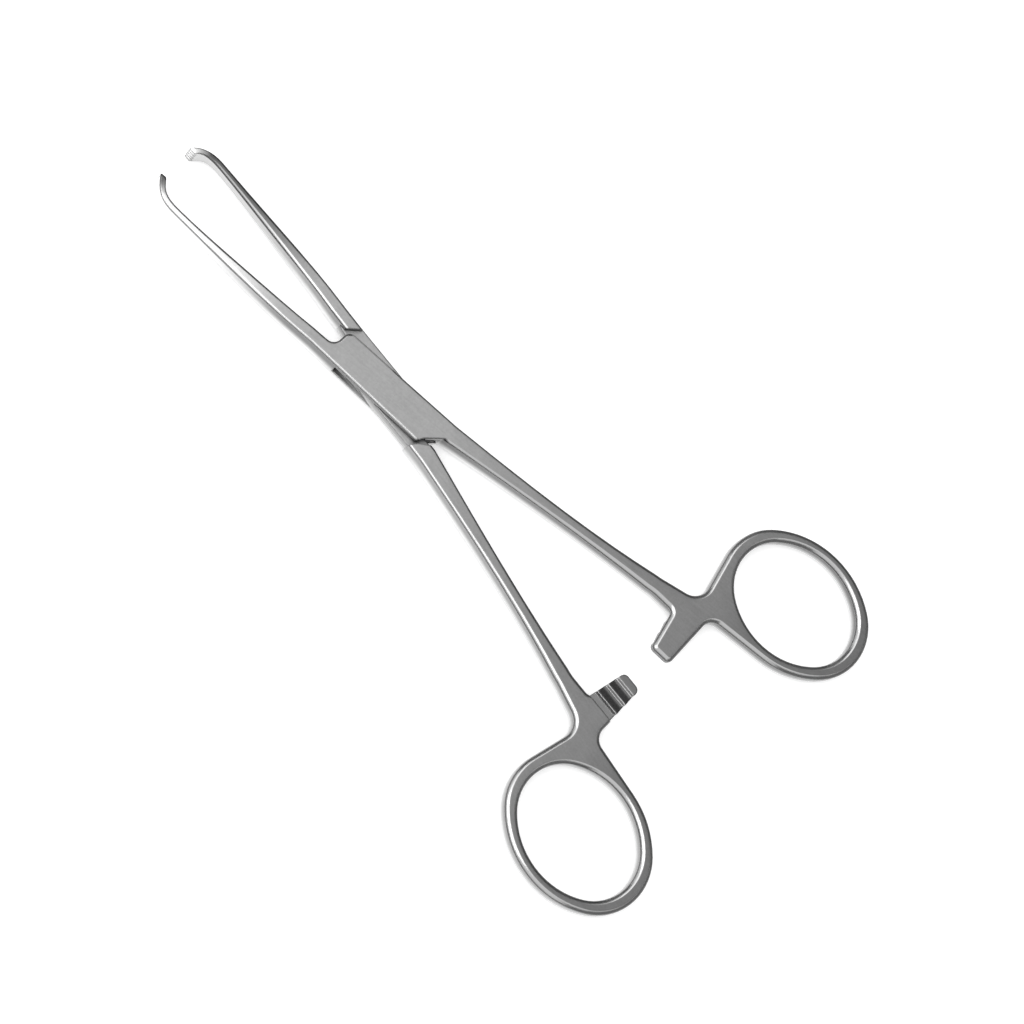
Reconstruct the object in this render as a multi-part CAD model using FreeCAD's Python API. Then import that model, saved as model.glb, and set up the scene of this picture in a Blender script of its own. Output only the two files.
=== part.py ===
import FreeCAD, Part
import math
import os

# Tissue forceps with a box lock: two halves that cross at a riveted pin.
# The instrument lies flat. The pin's axis is Z through the origin, the underside of the box is Z = 0,
# the finger rings point to +X and the jaws to -X.
# Each half is drawn in its own plan frame, as it lies when the jaws are shut, with its jaw at -Y and
# its shank and ring at +Y. The box half is used as drawn, the tongue half is its mirror image in Y.
# Both are then turned about the pin, so that the jaws stand open as in the photograph.

Vector = FreeCAD.Vector

# Angles in degrees, lengths in millimetres
half_opening = 3.9
box_height = 4.8
ring_height = 3.5
mid_z = box_height / 2

# Box lock
box_half_width = 3.65
box_edge_round = 0.6
cheek_front = 12.4
cheek_corner_round = 1.8
cheek_corner_lean = 0.3
cheek_front_taper = 0.45
waist_x = 2.0
waist_round = 20.0
cheek_rear = 13.4
cheek_rear_y = -0.4
cheek_rear_knee = cheek_rear - 2.1
cheek_rear_knee_y = -box_half_width + 1.25
cheek_rear_near = cheek_rear - 2.65
cheek_rear_round = 3.0
front_crotch_round = 1.8
tongue_height = 2.4
tongue_side = box_half_width + 0.35
slot_clearance = 0.05
tongue_radius = 9.9
slot_side_room = 0.3
slot_radius = tongue_radius + slot_side_room
slot_room = 0.05
neck_room = 0.2
neck_overlap = 2.0
neck_rise = 0.15
shoulder_gap = 0.12
front_shoulder_inner = cheek_front + 0.95
front_shoulder_outer = cheek_front - 1.35

# Riveted pin, flush on both faces
pin_radius = 1.6
pin_head_radius = 2.1
pin_head_depth = 0.7
pin_clearance = 0.03

# Jaw: width, height and edge round from the root to the tip
jaw_root_x = -cheek_front - 4.8
jaw_root_y = -box_half_width + 1.12
jaw_root_width = 2.66
jaw_tip_x = -56.35
jaw_tip_y = 0.45
jaw_bend_x = jaw_tip_x + 6.85
jaw_bow_x = jaw_tip_x + 3.05
jaw_knee_x = jaw_tip_x + 1.45
jaw_span = jaw_bend_x - jaw_root_x
jaw_root = (jaw_root_x, jaw_root_y, 182.0, jaw_root_width, box_height, box_edge_round)
jaw_stations = (
    jaw_root,
    (jaw_root_x + 0.3 * jaw_span, jaw_root_y - 0.35, 181.2, 2.42, box_height - 0.6, 0.65),
    (jaw_root_x + 0.67 * jaw_span, jaw_root_y - 0.42, 180.0, 1.9, box_height - 1.4, 0.75),
    (jaw_bend_x, jaw_root_y - 0.37, 177.0, 1.42, box_height - 1.8, 0.6),
    (jaw_bow_x, jaw_root_y + 0.08, 163.0, 1.3, box_height - 1.4, 0.5),
    (jaw_knee_x, jaw_root_y + 1.03, 138.0, 1.2, box_height - 0.6, 0.35),
    (jaw_tip_x, jaw_tip_y, 128.0, 1.16, box_height - 0.1, 0.25),
)
front_crotch_y = jaw_root_y + jaw_root_width / 2 + 0.25

# Teeth across the tip of each jaw
tip_gap = 0.12
tip_tooth_pitch = 1.0
tip_tooth_depth = 0.6
tip_tooth_count = 6
tip_cut_length = 4.6

# Finger ring, an oval of four arcs
ring_x = 85.15
ring_y = 25.75
ring_turn = 2.3
ring_hole_long = 13.35
ring_hole_short = 10.8
ring_band_long = 2.95
ring_band_short = 2.25
ring_edge_round = 1.0
ring_end_fullness = 1.07

# Shank, from the box to the yoke
shank_root_x = cheek_rear + 1.2
shank_root_y = box_half_width - 1.45
shank_root_width = 3.7
shank_end_x = ring_x - 24.25
shank_end_y = ring_y - 17.02
shank_run = shank_end_x - shank_root_x
shank_rise = shank_end_y - shank_root_y
shank_fall = box_height - ring_height
shank_root = (shank_root_x, shank_root_y, 2.0, shank_root_width, box_height, box_edge_round)
shank_end = (shank_end_x, shank_end_y, 9.5, 3.45, ring_height, ring_edge_round)
shank_stations = (
    shank_root,
    (
        shank_root_x + 0.4 * shank_run,
        shank_root_y + 0.38 * shank_rise,
        7.9,
        2.6,
        box_height - 0.46 * shank_fall,
        0.7,
    ),
    (
        shank_root_x + 0.7 * shank_run,
        shank_root_y + 0.68 * shank_rise,
        8.4,
        2.5,
        box_height - 0.77 * shank_fall,
        0.85,
    ),
    shank_end,
)

# Yoke between shank, ring and ratchet bar, placed from the middle of the ring
yoke_outer_x = ring_x - 14.25
yoke_outer_y = ring_y - 13.0
yoke_outer_round = 3.5
yoke_inner_x = ring_x - 10.85
yoke_inner_y = ring_y - 14.15
yoke_inner_round = 2.6
bar_root_y = shank_end_y - 1.43
bar_left_root = ring_x - 17.35
bar_left_end = ring_x - 16.05
box_bar_width = 4.7
tongue_bar_width = 4.2
bar_corner_round = 1.1
bar_root_round = 1.2
box_bar_end = -0.95
tongue_bar_end = -1.75

# Ratchet teeth
ratchet_gap = 0.10
ratchet_pitch = 2.5
ratchet_depth = 0.75
ratchet_flank = 0.35
ratchet_first = -0.15
ratchet_count = 3

# Turns in degrees
half_turn = 180
full_turn = 360

# A rounded edge is drawn as three flat bands that touch the true round
band_count = 3
band_turn = 90.0 / (band_count + 1)

# How the plates and the tapered bars are joined
stub = 1.6
stub_round = 8.0
root_overlap = 5.0
loft_degree = 3
margin = 2.0
small = 1e-4


def direction(heading):
    angle = math.radians(heading)
    return Vector(math.cos(angle), math.sin(angle), 0)


def left_of(heading):
    return direction(heading + 90)


def slope(heading):
    return math.tan(math.radians(heading))


def station_side(station, side):
    """Plan point on the left (+1) or right (-1) side of a station."""
    x, y, heading, width = station[:4]
    return Vector(x, y, 0) + left_of(heading) * (side * width / 2)


def station_wire(station):
    """Rectangle with banded corners across the bar at a station, about the middle plane."""
    x, y, heading, width, height, corner = station
    across = left_of(heading)
    up = Vector(0, 0, 1)
    middle = Vector(x, y, mid_z)
    reach = corner / math.cos(math.radians(band_turn / 2))
    points = []
    for side, level, start in ((1, 1, 0), (-1, 1, 90), (-1, -1, 180), (1, -1, 270)):
        centre = middle + across * (side * (width / 2 - corner)) + up * (level * (height / 2 - corner))
        for step in range(band_count + 1):
            turn = direction(start + (step + 0.5) * band_turn) * reach
            points.append(centre + across * turn.x + up * turn.y)
    return Part.makePolygon(points + points[:1])


def tapered_bar(stations):
    wires = [station_wire(station) for station in stations]
    return Part.makeLoft(wires, True, False, False, loft_degree)


def arc(centre, radius, start, finish):
    """Circular arc in plan, between two directions."""
    middle = (start + finish) / 2
    points = [centre + direction(turn) * radius for turn in (start, middle, finish)]
    return Part.Arc(*points).toShape()


def rounded_path(corners, closed=True):
    """Edges of a plan outline; each corner is (x, y) or (x, y, radius of its rounding)."""
    points = [Vector(corner[0], corner[1], 0) for corner in corners]
    radii = [corner[2] if len(corner) > 2 else 0 for corner in corners]
    count = len(points)
    starts = []
    finishes = []
    arcs = []
    for index in range(count):
        here = points[index]
        if radii[index] == 0:
            starts.append(here)
            finishes.append(here)
            arcs.append(None)
            continue
        back = (points[index - 1] - here).normalize()
        ahead = (points[(index + 1) % count] - here).normalize()
        half_angle = back.getAngle(ahead) / 2
        reach = radii[index] / math.tan(half_angle)
        bisector = (back + ahead).normalize()
        centre = here + bisector * (radii[index] / math.sin(half_angle))
        first = here + back * reach
        last = here + ahead * reach
        arcs.append(Part.Arc(first, centre - bisector * radii[index], last).toShape())
        starts.append(first)
        finishes.append(last)
    edges = []
    for index in range(count):
        if arcs[index]:
            edges.append(arcs[index])
        following = (index + 1) % count
        if following == 0 and not closed:
            break
        if finishes[index].distanceToPoint(starts[following]) > small:
            edges.append(Part.LineSegment(finishes[index], starts[following]).toShape())
    return edges


def plate(edges, low, high):
    """Flat plate from plan edges, between two heights."""
    face = Part.Face(Part.Wire(Part.__sortEdges__(edges)))
    solid = face.extrude(Vector(0, 0, high - low))
    solid.translate(Vector(0, 0, low))
    return solid


def level_edges(solid, levels, open_ends):
    """Edges that lie flat at one of the levels, except those across an open end."""
    found = []
    for edge in solid.Edges:
        corners = [vertex.Point for vertex in edge.Vertexes]
        flat = any(max(abs(corner.z - level) for corner in corners) < small for level in levels)
        if not flat:
            continue
        at_end = False
        for first, last in open_ends:
            across = Vector(first.y - last.y, last.x - first.x, 0).normalize()
            at_end = at_end or max(abs((corner - first).dot(across)) for corner in corners) < small
        if not at_end:
            found.append(edge)
    return found


def round_rims(solid, low, high, radius, open_ends):
    """Round the top and bottom rims in flat bands, except across the open ends."""
    flats = [(Vector(first.x, first.y, 0), Vector(last.x, last.y, 0)) for first, last in open_ends]
    first_cut = radius * (1 - slope(band_turn))
    second_cut = radius * (slope(band_turn) - slope(band_turn / 2))
    solid = solid.makeChamfer(first_cut, level_edges(solid, (low, high), flats))
    levels = (low, low + first_cut, high - first_cut, high)
    return solid.makeChamfer(second_cut, level_edges(solid, levels, flats))


def stub_corner(station, side, sense):
    """Corner a short way inside a plate from its open end, so that its wall starts along the heading."""
    point = station_side(station, side) + direction(station[2]) * (sense * stub)
    return (point.x, point.y, stub_round)


def ring_arcs(long_radius, short_radius):
    """The four arcs of an oval about the ring's middle: centre, radius, start and finish."""
    end_radius = short_radius ** 2 / long_radius * ring_end_fullness
    spread = long_radius ** 2 + short_radius ** 2 - 2 * long_radius * end_radius
    side_radius = spread / (2 * (short_radius - end_radius))
    along = direction(ring_turn) * (long_radius - end_radius)
    across = left_of(ring_turn) * (side_radius - short_radius)
    joint = math.degrees(math.atan2(side_radius - short_radius, long_radius - end_radius))
    middle = Vector(ring_x, ring_y, 0)
    return (
        (middle + along, end_radius, ring_turn - joint, ring_turn + joint),
        (middle - across, side_radius, ring_turn + joint, ring_turn + half_turn - joint),
        (middle - along, end_radius, ring_turn + half_turn - joint, ring_turn + half_turn + joint),
        (middle + across, side_radius, ring_turn + half_turn + joint, ring_turn + full_turn - joint),
    )


def touch_angle(x, y, centre, radius, sense):
    """Direction, within one full turn, in which a line from the point touches a circle."""
    away = Vector(x, y, 0) - centre
    angle = math.atan2(away.y, away.x) + sense * math.acos(radius / away.Length)
    return math.degrees(angle) % full_turn


def ring_and_yoke(bar_end, bar_width):
    """Finger ring, yoke and plain ratchet bar, with an open end that meets the shank."""
    low = mid_z - ring_height / 2
    high = mid_z + ring_height / 2
    outline = ring_arcs(ring_hole_long + ring_band_long, ring_hole_short + ring_band_short)
    far_end, far_side, near_end, near_side = outline
    inner_turn = touch_angle(yoke_inner_x, yoke_inner_y, near_side[0], near_side[1], 1)
    outer_turn = touch_angle(yoke_outer_x, yoke_outer_y, near_end[0], near_end[1], -1)
    first = near_side[0] + direction(inner_turn) * near_side[1]
    last = near_end[0] + direction(outer_turn) * near_end[1]
    tail_inner = station_side(shank_end, -1)
    tail_outer = station_side(shank_end, 1)
    corners = (
        (last.x, last.y),
        (yoke_outer_x, yoke_outer_y, yoke_outer_round),
        stub_corner(shank_end, 1, 1),
        (tail_outer.x, tail_outer.y),
        (tail_inner.x, tail_inner.y),
        stub_corner(shank_end, -1, 1),
        (bar_left_root, bar_root_y, bar_root_round),
        (bar_left_end, bar_end, bar_corner_round),
        (bar_left_end + bar_width, bar_end, bar_corner_round),
        (yoke_inner_x, yoke_inner_y, yoke_inner_round),
        (first.x, first.y),
    )
    edges = rounded_path(corners, closed=False)
    edges.append(arc(near_side[0], near_side[1], inner_turn, near_side[3]))
    edges.append(arc(*far_end))
    edges.append(arc(*far_side))
    edges.append(arc(near_end[0], near_end[1], near_end[2], outer_turn))
    body = plate(edges, low, high)
    hole_edges = [arc(*piece) for piece in ring_arcs(ring_hole_long, ring_hole_short)]
    body = body.cut(plate(hole_edges, low - margin, high + margin))
    return round_rims(body, low, high, ring_edge_round, [(tail_inner, tail_outer)])


def ratchet_cutter(bar_end, faces_up):
    """What is cut from a bar to leave half its height, with saw teeth on the inner face."""
    sign = 1 if faces_up else -1
    tip = mid_z - sign * ratchet_gap / 2
    base = tip - sign * ratchet_depth
    beyond = mid_z + sign * ring_height
    outline = [(bar_end - margin, beyond), (bar_end - margin, base + sign * ratchet_flank)]
    for index in range(ratchet_count):
        crest = ratchet_first + index * ratchet_pitch
        outline.append((crest, tip))
        outline.append((crest + ratchet_flank, base))
    outline.append((bar_root_y, base))
    outline.append((bar_root_y, beyond))
    low_x = bar_left_root - margin
    points = [Vector(low_x, y, z) for y, z in outline]
    face = Part.Face(Part.makePolygon(points + points[:1]))
    return face.extrude(Vector(yoke_inner_x + margin - low_x, 0, 0))


def tip_cutter(phase):
    """What is cut from the end of a jaw, a zigzag across its height."""
    reach = tip_tooth_count * tip_tooth_pitch / 2
    far = jaw_tip_y + margin
    low_x = jaw_tip_x - margin
    points = [Vector(low_x, far, mid_z - reach)]
    for index in range(2 * tip_tooth_count + 1):
        level = 1 if (index + phase) % 2 else -1
        y = level * tip_tooth_depth / 2 - tip_gap / 2
        points.append(Vector(low_x, y, mid_z - reach + index * tip_tooth_pitch / 2))
    points.append(Vector(low_x, far, mid_z + reach))
    face = Part.Face(Part.makePolygon(points + points[:1]))
    return face.extrude(Vector(margin + tip_cut_length, 0, 0))


def jaw(phase):
    return tapered_bar(jaw_stations).cut(tip_cutter(phase))


def shank_and_ring(bar_end, bar_width, faces_up):
    bow = ring_and_yoke(bar_end, bar_width).cut(ratchet_cutter(bar_end, faces_up))
    return tapered_bar(shank_stations).fuse(bow)


def pivot_pin():
    """Rivet with flush cone heads."""
    profile = (
        (0, 0),
        (pin_head_radius, 0),
        (pin_radius, pin_head_depth),
        (pin_radius, box_height - pin_head_depth),
        (pin_head_radius, box_height),
        (0, box_height),
    )
    points = [Vector(x, 0, z) for x, z in profile]
    face = Part.Face(Part.makePolygon(points + points[:1]))
    return face.revolve(Vector(0, 0, 0), Vector(0, 0, 1), full_turn)


def outer_wall(x):
    """Plan point on the outer wall of the box, in line with the shank's own outer side."""
    corner = station_side(shank_root, 1)
    return (x, corner.y + (x - corner.x) * slope(shank_root[2]))


def rear_region(side, reach, shift):
    """Plan region beyond the rear edge of the box on one side of the slot, out to a reach along X."""
    near = Vector(cheek_rear_near, -box_half_width, 0)
    knee = Vector(cheek_rear_knee, cheek_rear_knee_y, 0)
    rear = Vector(cheek_rear, cheek_rear_y, 0)
    start = knee + (near - knee).normalize() * box_half_width
    finish = rear + (rear - knee)
    corners = (
        (start.x + shift, start.y * side),
        (knee.x + shift, knee.y * side, cheek_rear_round),
        (finish.x + shift, finish.y * side),
        (reach, finish.y * side),
        (reach, start.y * side),
    )
    return plate(rounded_path(corners), -margin, box_height + margin)


def cheek_block():
    """Box of the outer half before its slot is cut, with an open end that meets the jaw."""
    jaw_outer = station_side(jaw_root, 1)
    jaw_inner = station_side(jaw_root, -1)
    rear_near = Vector(shank_root_x - small, -box_half_width, 0)
    rear_far = outer_wall(rear_near.x)
    corners = (
        (jaw_outer.x, jaw_outer.y),
        stub_corner(jaw_root, 1, -1),
        (rear_near.x, rear_near.y),
        rear_far,
        outer_wall(waist_x) + (waist_round,),
        (-cheek_front + cheek_corner_lean, box_half_width - cheek_front_taper, cheek_corner_round),
        (-cheek_front, front_crotch_y, front_crotch_round),
        stub_corner(jaw_root, -1, -1),
        (jaw_inner.x, jaw_inner.y),
    )
    block = plate(rounded_path(corners), 0, box_height)
    ends = [(jaw_outer, jaw_inner), (rear_near, Vector(*rear_far, 0))]
    block = round_rims(block, 0, box_height, box_edge_round, ends)
    return block.cut(rear_region(1, shank_root_x + margin, 0))


def shank_block():
    """Straight root of a shank, from inside the box to where the tapered shank takes over."""
    back = direction(shank_root[2]) * -root_overlap
    front_right = station_side(shank_root, -1)
    front_left = station_side(shank_root, 1)
    back_right = front_right + back
    back_left = front_left + back
    corners = [(point.x, point.y) for point in (back_right, front_right, front_left, back_left)]
    block = plate(rounded_path(corners), 0, box_height)
    ends = [(front_left, front_right), (back_left, back_right)]
    return round_rims(block, 0, box_height, box_edge_round, ends)


def jaw_block():
    """Straight root of the tongue half's jaw, from inside the box to where the tapered jaw takes over."""
    outer = station_side(jaw_root, 1)
    inner = station_side(jaw_root, -1)
    back_x = -cheek_front + root_overlap
    corners = (
        (outer.x, outer.y),
        stub_corner(jaw_root, 1, -1),
        (back_x, -box_half_width),
        (back_x, front_crotch_y),
        stub_corner(jaw_root, -1, -1),
        (inner.x, inner.y),
    )
    block = plate(rounded_path(corners), 0, box_height)
    back = (Vector(back_x, -box_half_width, 0), Vector(back_x, front_crotch_y, 0))
    return round_rims(block, 0, box_height, box_edge_round, [(outer, inner), back])


def slab(corners, height):
    """Flat slab about the middle plane, from plan corners."""
    return plate(rounded_path(corners), mid_z - height / 2, mid_z + height / 2)


def disc(radius, height):
    return Part.makeCylinder(radius, height, Vector(0, 0, mid_z - height / 2))


def box_slot():
    """Slot through the box for the tongue, with room for its necks to swing at both ends."""
    height = tongue_height + 2 * slot_clearance
    side = box_half_width + margin
    front_x = -cheek_front - margin
    rear_x = cheek_rear + margin
    front = ((front_x, front_crotch_y), (0, front_crotch_y), (0, side), (front_x, side))
    rear = ((0, -side), (rear_x, -side), (rear_x, slot_room), (0, slot_room))
    return disc(slot_radius, height).fuse([slab(front, height), slab(rear, height)])


def tongue():
    """Flat tongue between the shoulders of the tongue half, as drawn with its jaw at -Y."""
    side = box_half_width
    outer = -tongue_side
    ends = cheek_rear
    band = slab(((-ends, outer), (ends, outer), (ends, side), (-ends, side)), tongue_height)
    round_part = band.common(disc(tongue_radius, tongue_height))
    neck_in = tongue_radius - neck_overlap
    front = (
        (-neck_in, outer),
        (-front_shoulder_outer - neck_overlap / 2, outer),
        (-front_shoulder_inner - neck_overlap / 2, front_crotch_y),
        (-front_shoulder_inner, front_crotch_y + neck_rise),
        (-neck_in, -neck_room),
    )
    rear = (
        (neck_in, neck_room),
        (shank_root_x, shank_root_y - shank_root_width / 2),
        (shank_root_x, side),
        (neck_in, side),
    )
    return round_part.fuse([slab(front, tongue_height), slab(rear, tongue_height)])


def half_space(first, last):
    """Tall wedge on the left of a plan line, to cut a block at a shoulder."""
    along = (last - first).normalize()
    left = Vector(-along.y, along.x, 0)
    start = first - along * slot_radius
    finish = last + along * slot_radius
    far = left * slot_radius
    corners = [(point.x, point.y) for point in (start, finish, finish + far, start + far)]
    return plate(rounded_path(corners), -margin, box_height + margin)


def box_half():
    bow = shank_and_ring(box_bar_end, box_bar_width, False)
    body = cheek_block().fuse([shank_block(), jaw(0), bow])
    body = body.cut(box_slot()).cut(pivot_pin())
    body.rotate(Vector(0, 0, 0), Vector(0, 0, 1), half_opening)
    return body


def tongue_half():
    front_first = Vector(-front_shoulder_inner, front_crotch_y, 0)
    front_last = Vector(-front_shoulder_outer, -box_half_width, 0)
    front = jaw_block().cut(half_space(front_first, front_last))
    rear = shank_block().cut(rear_region(-1, 0, shoulder_gap))
    bow = shank_and_ring(tongue_bar_end, tongue_bar_width, True)
    body = tongue().fuse([front, rear, jaw(1), bow])
    body = body.cut(Part.makeCylinder(pin_radius + pin_clearance, box_height))
    body = body.mirror(Vector(0, 0, 0), Vector(0, 1, 0))
    body.rotate(Vector(0, 0, 0), Vector(0, 0, 1), -half_opening)
    return body


os.makedirs("parts", exist_ok=True)
pieces = {"box_half": box_half(), "tongue_half": tongue_half(), "pivot_pin": pivot_pin()}
for name, shape in pieces.items():
    solids = shape.removeSplitter().Solids
    print(name, len(solids), "solid", round(shape.Volume, 1), "mm3", shape.isValid())
    solids[0].exportStep("parts/" + name + ".step")
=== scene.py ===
import bpy, math
from mathutils import Matrix, Vector


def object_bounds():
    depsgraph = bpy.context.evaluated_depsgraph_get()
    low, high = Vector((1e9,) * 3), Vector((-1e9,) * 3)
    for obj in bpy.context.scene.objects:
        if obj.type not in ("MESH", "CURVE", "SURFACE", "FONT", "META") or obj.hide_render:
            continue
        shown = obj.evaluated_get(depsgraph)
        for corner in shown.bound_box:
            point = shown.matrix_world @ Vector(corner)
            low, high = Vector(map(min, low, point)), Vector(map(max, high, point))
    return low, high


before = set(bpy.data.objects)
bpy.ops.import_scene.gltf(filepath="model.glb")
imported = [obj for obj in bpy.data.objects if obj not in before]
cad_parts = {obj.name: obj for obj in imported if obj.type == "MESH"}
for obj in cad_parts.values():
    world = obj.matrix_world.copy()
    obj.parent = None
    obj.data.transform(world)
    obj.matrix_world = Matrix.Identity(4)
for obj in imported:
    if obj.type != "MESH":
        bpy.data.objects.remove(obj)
cadLow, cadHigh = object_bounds()
print("frame:", sorted(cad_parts))


# Shader building

class Wire:
    def __init__(self, graph, socket):
        self.graph = graph
        self.socket = socket

    def __add__(self, other):
        return self.graph.maths("ADD", self, other)

    def __radd__(self, other):
        return self.graph.maths("ADD", other, self)

    def __sub__(self, other):
        return self.graph.maths("SUBTRACT", self, other)

    def __rsub__(self, other):
        return self.graph.maths("SUBTRACT", other, self)

    def __mul__(self, other):
        return self.graph.maths("MULTIPLY", self, other)

    def __rmul__(self, other):
        return self.graph.maths("MULTIPLY", other, self)


class Graph:
    def __init__(self, owner):
        self.tree = owner.node_tree
        self.tree.nodes.clear()

    def add(self, kind, settings=None, inputs=None, output=0):
        node = self.tree.nodes.new(kind)
        for name, value in (settings or {}).items():
            setattr(node, name, value)
        for name, value in (inputs or {}).items():
            if isinstance(value, Wire):
                self.tree.links.new(value.socket, node.inputs[name])
            else:
                node.inputs[name].default_value = value
        return Wire(self, node.outputs[output]) if len(node.outputs) else None

    def maths(self, operation, *values):
        return self.add("ShaderNodeMath", {"operation": operation}, dict(enumerate(values)))

    def vectorMaths(self, operation, *values, output="Vector"):
        settings = {"operation": operation}
        return self.add("ShaderNodeVectorMath", settings, dict(enumerate(values)), output)

    def axis(self, vector, name):
        return self.add("ShaderNodeSeparateXYZ", inputs={0: vector}, output=name)

    def blend(self, factor, first, second, mode="MIX"):
        settings = {"data_type": "RGBA", "blend_type": mode}
        return self.add("ShaderNodeMix", settings, {0: factor, 6: first, 7: second}, output=2)

    def blendVectors(self, factor, first, second):
        settings = {"data_type": "VECTOR"}
        return self.add("ShaderNodeMix", settings, {0: factor, 4: first, 5: second}, output=1)

    # 0 up to the low value, 1 from the high one on, with a smooth step between them
    def window(self, value, low, high):
        settings = {"interpolation_type": "SMOOTHSTEP"}
        return self.add("ShaderNodeMapRange", settings, {0: value, 1: low, 2: high})

    # 1 inside an ellipsoid on the part, 0 outside it. A reach of 0 means any distance
    def zone(self, place, zone):
        stretch = tuple(1 / reach if reach else 0 for reach in zone["reach"])
        offset = self.vectorMaths("SUBTRACT", place, zone["middle"])
        scaled = self.vectorMaths("MULTIPLY", offset, stretch)
        length = self.vectorMaths("LENGTH", scaled, output="Value")
        return 1 - self.window(length, *zone["fade"])


def newMaterial(name):
    material = bpy.data.materials.new(name)
    material.use_nodes = True
    return material, Graph(material)


def grey(level):
    return (level, level, level, 1)


# Steel finishes, with light and shade painted into their colours

satinSteel = {
    # Spans along the part, in metres from the pin, over which one painted tone of light and
    # shade fades into the next
    "bowSpan": (0.005, 0.062),
    "ringSpan": (0.070, 0.084),
    "jawSpan": (-0.045, -0.020),
    "tipSpan": (-0.0558, -0.0528),
    # Span in height over which the walls get darker: a painted reflection of the paper at the
    # foot fading into painted shade
    "footSpan": (0.0004, 0.0032),
    # Spans of the surface's tilt: of its upward share, and of its share towards +Y
    "flatTilt": (0.93, 0.992),
    "wallTilt": (0.1, 0.5),
    "rampTilt": (0.0, 0.2),
    "leeTilt": (0.15, 0.5),
    "groundTilt": (0.25, 0.5),
    "boxLitColour": grey(0.355),  # flats at the box, painted lighter: painted light
    "bowShadeColour": grey(0.235),  # flats at the ratchet and the finger rings, painted darker: painted shade
    "ringShadeColour": grey(0.185),  # flats of the finger rings alone, painted darker still: painted shade
    "rimColour": grey(0.50),  # rounded edges
    "leeShadeColour": grey(0.17),  # painted shade on rounded edges on the side away from the lamps
    "footReflectionColour": grey(0.92),  # painted reflection of the paper on upright walls near it
    "tipFoot": 0.8,  # how much of that painted reflection the walls of the tips have at any height
    "flankHighlightColour": grey(0.90),  # painted highlight on the steep flanks of the ratchet teeth
    "rampShadeColour": grey(0.17),  # painted shade on the long ramps behind them
    "flatRoughness": 0.42,
    "rimRoughness": 0.16,
    "roughnessTint": 0.08,
    "rimRadius": 0.00045,
    "rimSamples": 6,
    "grainStretch": (160.0, 2600.0, 2600.0),
    "grainDetail": 3.0,
    "grainRoughness": 0.6,
    "grainTint": 0.28,
    "grainHeight": 0.000003,
    "speckScale": 2400.0,
    "speckDetail": 2.0,
    "speckTint": 0.24,
    "mottleScale": 330.0,
    "mottleDetail": 3.0,
    "mottleTint": 0.20,
    # Painted shade in gaps and recesses, from ambient occlusion
    "gapReach": 0.0020,
    "gapSamples": 8,
    "gapSpan": (0.20, 0.60),
    "gapShadeLevel": 0.12,
}

halves = {
    "box_half": {
        "grainTurn": -0.136,
        "barPlace": (0.0709, 0.0074, -0.0020),  # middle of the ratchet teeth, on its underside
        "wallShadeColour": grey(0.16),  # painted shade on upright walls under the rounded edges
        # Painted highlight on this half's jaw flats and rims, painted reflection of the paper
        # on its jaw walls, and painted shade on its tip
        "jawPaintedTone": grey(0.88),
        "jawRimPaintedTone": grey(0.62),
        "jawLeeShade": grey(0.25),
        "jawWallPaintedTone": grey(0.85),
        "tipPaintedTone": grey(0.12),
        "boxEdges": True,
    },
    "tongue_half": {
        "grainTurn": 0.136,
        "barPlace": (0.0709, -0.0074, 0.0030),
        # Painted shade on this half's walls, jaw flats and jaw rims, painted reflection of the
        # paper on its jaw walls, and a painted highlight on its tip
        "wallShadeColour": grey(0.28),
        "jawPaintedTone": grey(0.12),
        "jawRimPaintedTone": grey(0.19),
        "jawLeeShade": grey(0.07),
        "jawWallPaintedTone": grey(0.55),
        "tipPaintedTone": grey(0.95),
        "boxEdges": False,
    },
    "pivot_pin": {
        "grainTurn": -0.136,
        "barPlace": (0.0709, 0.0074, -0.0020),
        # Painted shade on the pin's walls, as on the halves
        "wallShadeColour": grey(0.34),
        "jawPaintedTone": grey(0.36),
        "jawRimPaintedTone": grey(0.36),
        "jawLeeShade": grey(0.36),
        "jawWallPaintedTone": grey(0.36),
        "tipPaintedTone": grey(0.36),
        "boxEdges": False,
    },
}

# The teeth of a ratchet bar, around the half's barPlace, where the teeth's painted highlight
# and shade go
toothZone = {"reach": (0.0056, 0.0056, 0.0056), "fade": (0.75, 1.0)}

# The pin is ground flush with the box, so its outline is smoothed away
pinHead = {"middle": (0, 0, 0), "reach": (0.0040, 0.0040, 0), "fade": (0.65, 0.85)}

# So is the far edge of the box, where it is ground level with the other half's jaw
groundEdge = {
    "middle": (-0.0072, 0.0030, 0),
    "reach": (0.0064, 0.0016, 0),
    "fade": (0.8, 1.1),
    "share": 0.8,
}

# The edge at the rear end of the box and at the start of its shank lies in shade
shadedEdge = {
    "middle": (0.0140, -0.0015, 0),
    "reach": (0.0036, 0.0032, 0),
    "fade": (0.9, 1.1),
    "bend": (0.975, 0.999),  # upward share of the rounded normal, from shade to plain steel
    "colour": grey(0.04),
}

# The walls beside the box stay in shade further down towards the paper
shadedWall = {
    "middle": (0.0020, 0, 0),
    "reach": (0.0150, 0, 0),
    "fade": (0.6, 1.1),
    "share": 0.35,
}


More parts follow.
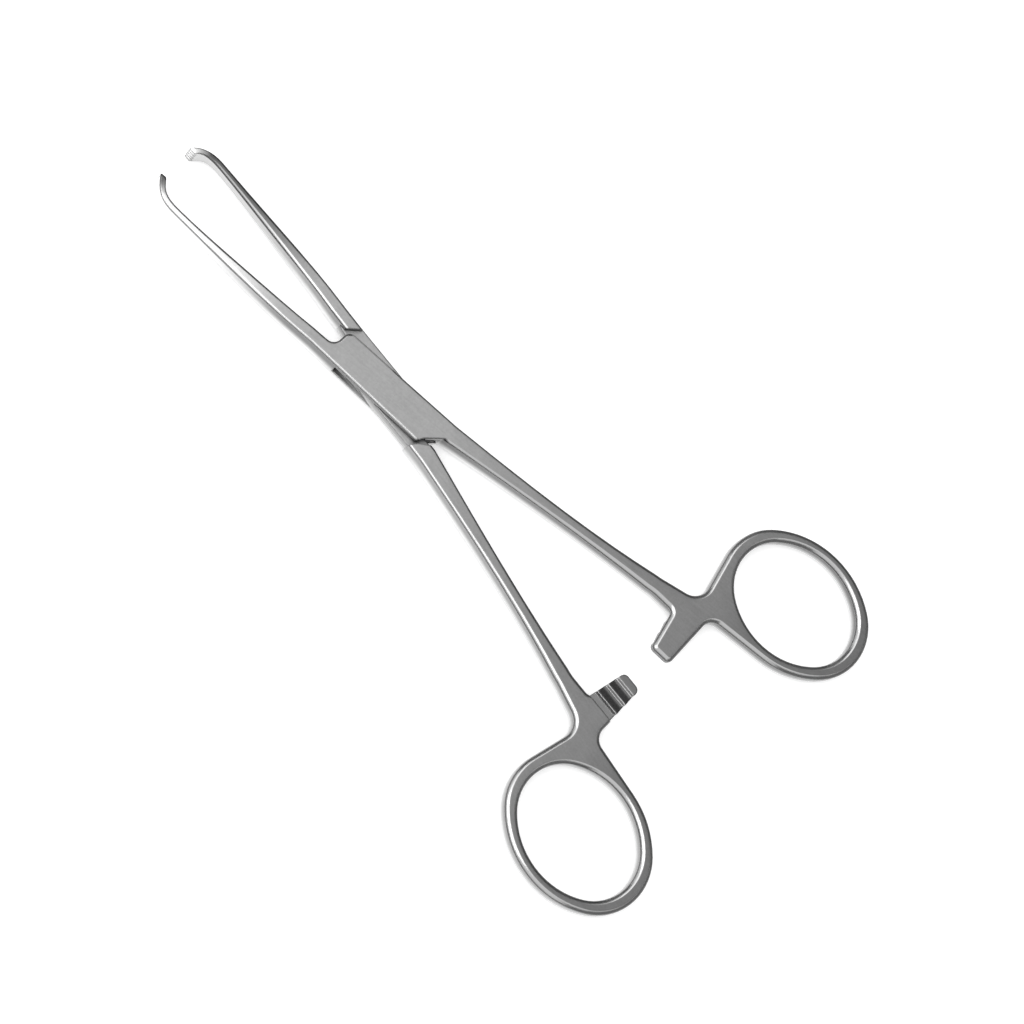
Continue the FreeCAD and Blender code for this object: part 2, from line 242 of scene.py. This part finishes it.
def makeSteel(name, finish, half):
    material, graph = newMaterial(name)
    place = graph.add("ShaderNodeTexCoord", output="Object")
    facing = graph.add("ShaderNodeTexCoord", output="Normal")

    tilt = graph.maths("ABSOLUTE", graph.axis(facing, "Z"))
    flat = graph.window(tilt, *finish["flatTilt"])
    wall = 1 - graph.window(tilt, *finish["wallTilt"])
    outward = graph.axis(facing, "Y")
    ramp = graph.window(outward, *finish["rampTilt"])
    lee = graph.window(outward, *finish["leeTilt"])

    along = graph.axis(place, "X")
    bow = graph.window(along, *finish["bowSpan"])
    ring = graph.window(along, *finish["ringSpan"])
    jaw = 1 - graph.window(along, *finish["jawSpan"])
    tip = 1 - graph.window(along, *finish["tipSpan"])
    teeth = graph.zone(place, dict(toothZone, middle=half["barPlace"]))
    # Painted reflection of the paper: walls lighter towards the foot, and at any height on the
    # tips
    foot = 1 - graph.window(graph.axis(place, "Z"), *finish["footSpan"])
    foot = graph.maths("MAXIMUM", foot, tip * finish["tipFoot"])
    foot = foot * (1 - graph.zone(place, shadedWall) * shadedWall["share"])

    turned = graph.add(
        "ShaderNodeVectorRotate", {"rotation_type": "Z_AXIS"},
        {"Vector": place, "Angle": half["grainTurn"]})
    grain = graph.add("ShaderNodeTexNoise", inputs={
        "Vector": graph.vectorMaths("MULTIPLY", turned, finish["grainStretch"]),
        "Scale": 1.0,
        "Detail": finish["grainDetail"],
        "Roughness": finish["grainRoughness"]})
    speck = graph.add("ShaderNodeTexNoise", inputs={
        "Vector": place, "Scale": finish["speckScale"], "Detail": finish["speckDetail"]})
    mottle = graph.add("ShaderNodeTexNoise", inputs={
        "Vector": place, "Scale": finish["mottleScale"], "Detail": finish["mottleDetail"]})

    # Painted light and shade on the flats: lighter at the box, darker towards the rings
    top = graph.blend(bow, finish["boxLitColour"], finish["bowShadeColour"])
    top = graph.blend(ring, top, finish["ringShadeColour"])
    # Painted highlight and shade on the jaw and the tip, different for each half
    top = graph.blend(jaw, top, half["jawPaintedTone"])
    top = graph.blend(tip, top, half["tipPaintedTone"])
    # Painted shade on the walls, fading into a painted reflection of the paper at the foot
    side = graph.blend(foot, half["wallShadeColour"], finish["footReflectionColour"])
    side = graph.blend(jaw, side, half["jawWallPaintedTone"])
    # Painted highlight on the ratchet flanks and painted shade on the ramps
    tooth = graph.blend(ramp, finish["flankHighlightColour"], finish["rampShadeColour"])
    # Painted shade on rounded edges facing +Y, away from the lamps
    rim = graph.blend(lee, finish["rimColour"], finish["leeShadeColour"])
    rim = graph.blend(teeth, rim, tooth)
    rim = graph.blend(jaw, rim, graph.blend(lee, half["jawRimPaintedTone"], half["jawLeeShade"]))
    rim = graph.blend(tip, rim, half["tipPaintedTone"])
    colour = graph.blend(flat, graph.blend(wall, rim, side), top)

    change = (grain - 0.5) * finish["grainTint"] + (speck - 0.5) * finish["speckTint"]
    change = change + (mottle - 0.5) * finish["mottleTint"]
    # Painted shade: gaps and recesses darkened by ambient occlusion, multiplied with the
    # grain's tint
    openness = graph.add(
        "ShaderNodeAmbientOcclusion", {"samples": finish["gapSamples"]},
        {"Distance": finish["gapReach"]}, output="AO")
    clear = graph.window(openness, *finish["gapSpan"])
    level = (1 + change * flat) * (finish["gapShadeLevel"] + clear * (1 - finish["gapShadeLevel"]))
    shade = graph.add("ShaderNodeCombineXYZ", inputs={0: level, 1: level, 2: level})
    colour = graph.blend(1.0, colour, shade, "MULTIPLY")

    rounded = graph.add(
        "ShaderNodeBevel", {"samples": finish["rimSamples"]}, {"Radius": finish["rimRadius"]})
    ground = graph.zone(place, pinHead)
    if half["boxEdges"]:
        bent = 1 - graph.window(graph.axis(rounded, "Z"), *shadedEdge["bend"])
        shaded = graph.zone(place, shadedEdge) * bent * (1 - wall)
        colour = graph.blend(shaded, colour, shadedEdge["colour"])
        ground = graph.maths(
            "MAXIMUM", ground, graph.zone(place, groundEdge) * groundEdge["share"])
    ground = ground * graph.window(tilt, *finish["groundTilt"])
    outside = graph.add("ShaderNodeNewGeometry", output="Normal")
    sign = graph.maths("SIGN", graph.axis(outside, "Z"))
    upright = graph.add("ShaderNodeCombineXYZ", inputs={"Z": sign})
    bump = graph.add("ShaderNodeBump", inputs={
        "Height": (grain + speck) * flat,
        "Distance": finish["grainHeight"],
        "Normal": graph.blendVectors(ground, rounded, upright)})

    spread = finish["flatRoughness"] - finish["rimRoughness"]
    rough = finish["rimRoughness"] + flat * spread + (grain - 0.5) * finish["roughnessTint"]
    surface = graph.add("ShaderNodeBsdfPrincipled", inputs={
        "Base Color": colour, "Metallic": 1.0, "Roughness": rough, "Normal": bump})
    graph.add("ShaderNodeOutputMaterial", inputs={"Surface": surface})
    return material


for name, half in halves.items():
    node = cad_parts[name]
    node.data.materials.clear()
    node.data.materials.append(makeSteel("satin steel " + name, satinSteel, half))
print("steel on", len(halves), "nodes")


# Studio

paperLook = {
    "colour": grey(0.80),
    "lift": 0.50,  # light that the camera and the metal see on the paper
    "half": 1.6,
    "drop": 0.0001,
    "slant": (0.34, 0.58),  # from here on the metal sees the paper as dark as a flag
}

# Dark cards around the stage, seen by the metal alone: turn and rise in degrees, from and to
flags = {
    "horizon flag": {"turn": (0, 360), "rise": (0, 13)},
    "far flag": {"turn": (-50, 165), "rise": (13, 48)},
}
flagLook = {"reach": 1.5, "colour": grey(0.26), "columnTurn": 7.5, "rows": 4}

sky = {"level": 0.75}  # its light on the paper. Camera and metal see the sky itself as 1

lamps = {
    "key softbox": {"place": (-0.35, 0.25, 1.0), "size": 0.7, "power": 1.2},
    "side softbox": {"place": (-0.35, -0.42, 0.85), "size": 0.8, "power": 4.4},
}


def addObject(name, data):
    thing = bpy.data.objects.new(name, data)
    bpy.context.scene.collection.objects.link(thing)
    return thing


def makePaper(look):
    half = look["half"]
    corners = [(-half, -half, 0), (half, -half, 0), (half, half, 0), (-half, half, 0)]
    mesh = bpy.data.meshes.new("paper")
    mesh.from_pydata(corners, [], [(0, 1, 2, 3)])
    paper = addObject("paper", mesh)
    paper.location.z = cadLow.z - look["drop"]
    material, graph = newMaterial("white paper")
    camera = graph.add("ShaderNodeLightPath", output="Is Camera Ray")
    glossy = graph.add("ShaderNodeLightPath", output="Is Glossy Ray")
    slanted = graph.add("ShaderNodeLayerWeight", output="Facing")
    plain = graph.add("ShaderNodeBsdfDiffuse", inputs={"Color": look["colour"]})
    glow = graph.add("ShaderNodeEmission", inputs={"Strength": look["lift"]})
    lifted = graph.add("ShaderNodeAddShader", inputs={0: plain, 1: glow})
    dark = graph.add("ShaderNodeBsdfDiffuse", inputs={"Color": flagLook["colour"]})
    seen = graph.maths("MAXIMUM", camera, glossy)
    surface = graph.add("ShaderNodeMixShader", inputs={0: seen, 1: plain, 2: lifted})
    shade = glossy * graph.window(slanted, *look["slant"])
    surface = graph.add("ShaderNodeMixShader", inputs={0: shade, 1: surface, 2: dark})
    graph.add("ShaderNodeOutputMaterial", inputs={"Surface": surface})
    mesh.materials.append(material)


def makeFlag(name, sector, look):
    fromTurn, toTurn = sector["turn"]
    fromRise, toRise = sector["rise"]
    rows = look["rows"]
    columns = round((toTurn - fromTurn) / look["columnTurn"])
    points = []
    for column in range(columns + 1):
        turn = math.radians(fromTurn + (toTurn - fromTurn) * column / columns)
        for row in range(rows + 1):
            rise = math.radians(fromRise + (toRise - fromRise) * row / rows)
            level = math.cos(rise)
            point = Vector((math.cos(turn) * level, math.sin(turn) * level, math.sin(rise)))
            points.append(point * look["reach"])
    faces = []
    for column in range(columns):
        for row in range(rows):
            first = column * (rows + 1) + row
            faces.append((first, first + 1, first + rows + 2, first + rows + 1))
    mesh = bpy.data.meshes.new(name)
    mesh.from_pydata(points, [], faces)
    flag = addObject(name, mesh)
    material, graph = newMaterial(name)
    dark = graph.add("ShaderNodeBsdfDiffuse", inputs={"Color": look["colour"]})
    graph.add("ShaderNodeOutputMaterial", inputs={"Surface": dark})
    mesh.materials.append(material)
    flag.visible_camera = False
    flag.visible_diffuse = False
    flag.visible_shadow = False


def makeWorld(look):
    world = bpy.data.worlds.new("studio")
    world.use_nodes = True
    bpy.context.scene.world = world
    graph = Graph(world)
    camera = graph.add("ShaderNodeLightPath", output="Is Camera Ray")
    glossy = graph.add("ShaderNodeLightPath", output="Is Glossy Ray")
    through = graph.add("ShaderNodeLightPath", output="Is Transmission Ray")
    seen = graph.maths("MAXIMUM", graph.maths("MAXIMUM", camera, glossy), through)
    strength = look["level"] + seen * (1 - look["level"])
    glow = graph.add("ShaderNodeBackground", inputs={"Color": grey(1), "Strength": strength})
    graph.add("ShaderNodeOutputWorld", inputs={"Surface": glow})


def makeLamp(name, look):
    light = bpy.data.lights.new(name, "AREA")
    light.shape = "SQUARE"
    light.size = look["size"]
    light.energy = look["power"]
    lamp = addObject(name, light)
    lamp.location = look["place"]
    lamp.rotation_mode = "QUATERNION"
    lamp.rotation_quaternion = Vector(look["place"]).to_track_quat("Z", "Y")


makePaper(paperLook)
for name, sector in flags.items():
    makeFlag(name, sector, flagLook)
makeWorld(sky)
for name, look in lamps.items():
    makeLamp(name, look)
print("studio ready")


# Camera, fitted to the outline in the photograph

view = {
    "place": (-0.009354, -0.223233, 0.556789),
    "right": (0.679147, 0.660422, 0.320314),
    "upward": (-0.73063, 0.65004, 0.208872),
    "back": (-0.070273, -0.375886, 0.923997),
    "focalPixels": 3226.96,
    "imagePixels": 1024,
    "sensor": 36.0,
    "clip": (0.01, 20),
}


def makeCamera(look):
    lens = bpy.data.cameras.new("camera")
    lens.sensor_fit = "HORIZONTAL"
    lens.sensor_width = look["sensor"]
    lens.lens = look["sensor"] * look["focalPixels"] / look["imagePixels"]
    lens.clip_start, lens.clip_end = look["clip"]
    camera = addObject("camera", lens)
    columns = Matrix((look["right"], look["upward"], look["back"])).transposed()
    camera.matrix_world = Matrix.Translation(look["place"]) @ columns.to_4x4()
    bpy.context.scene.camera = camera


makeCamera(view)
bpy.context.scene.view_settings.view_transform = "Standard"
print("camera ready")
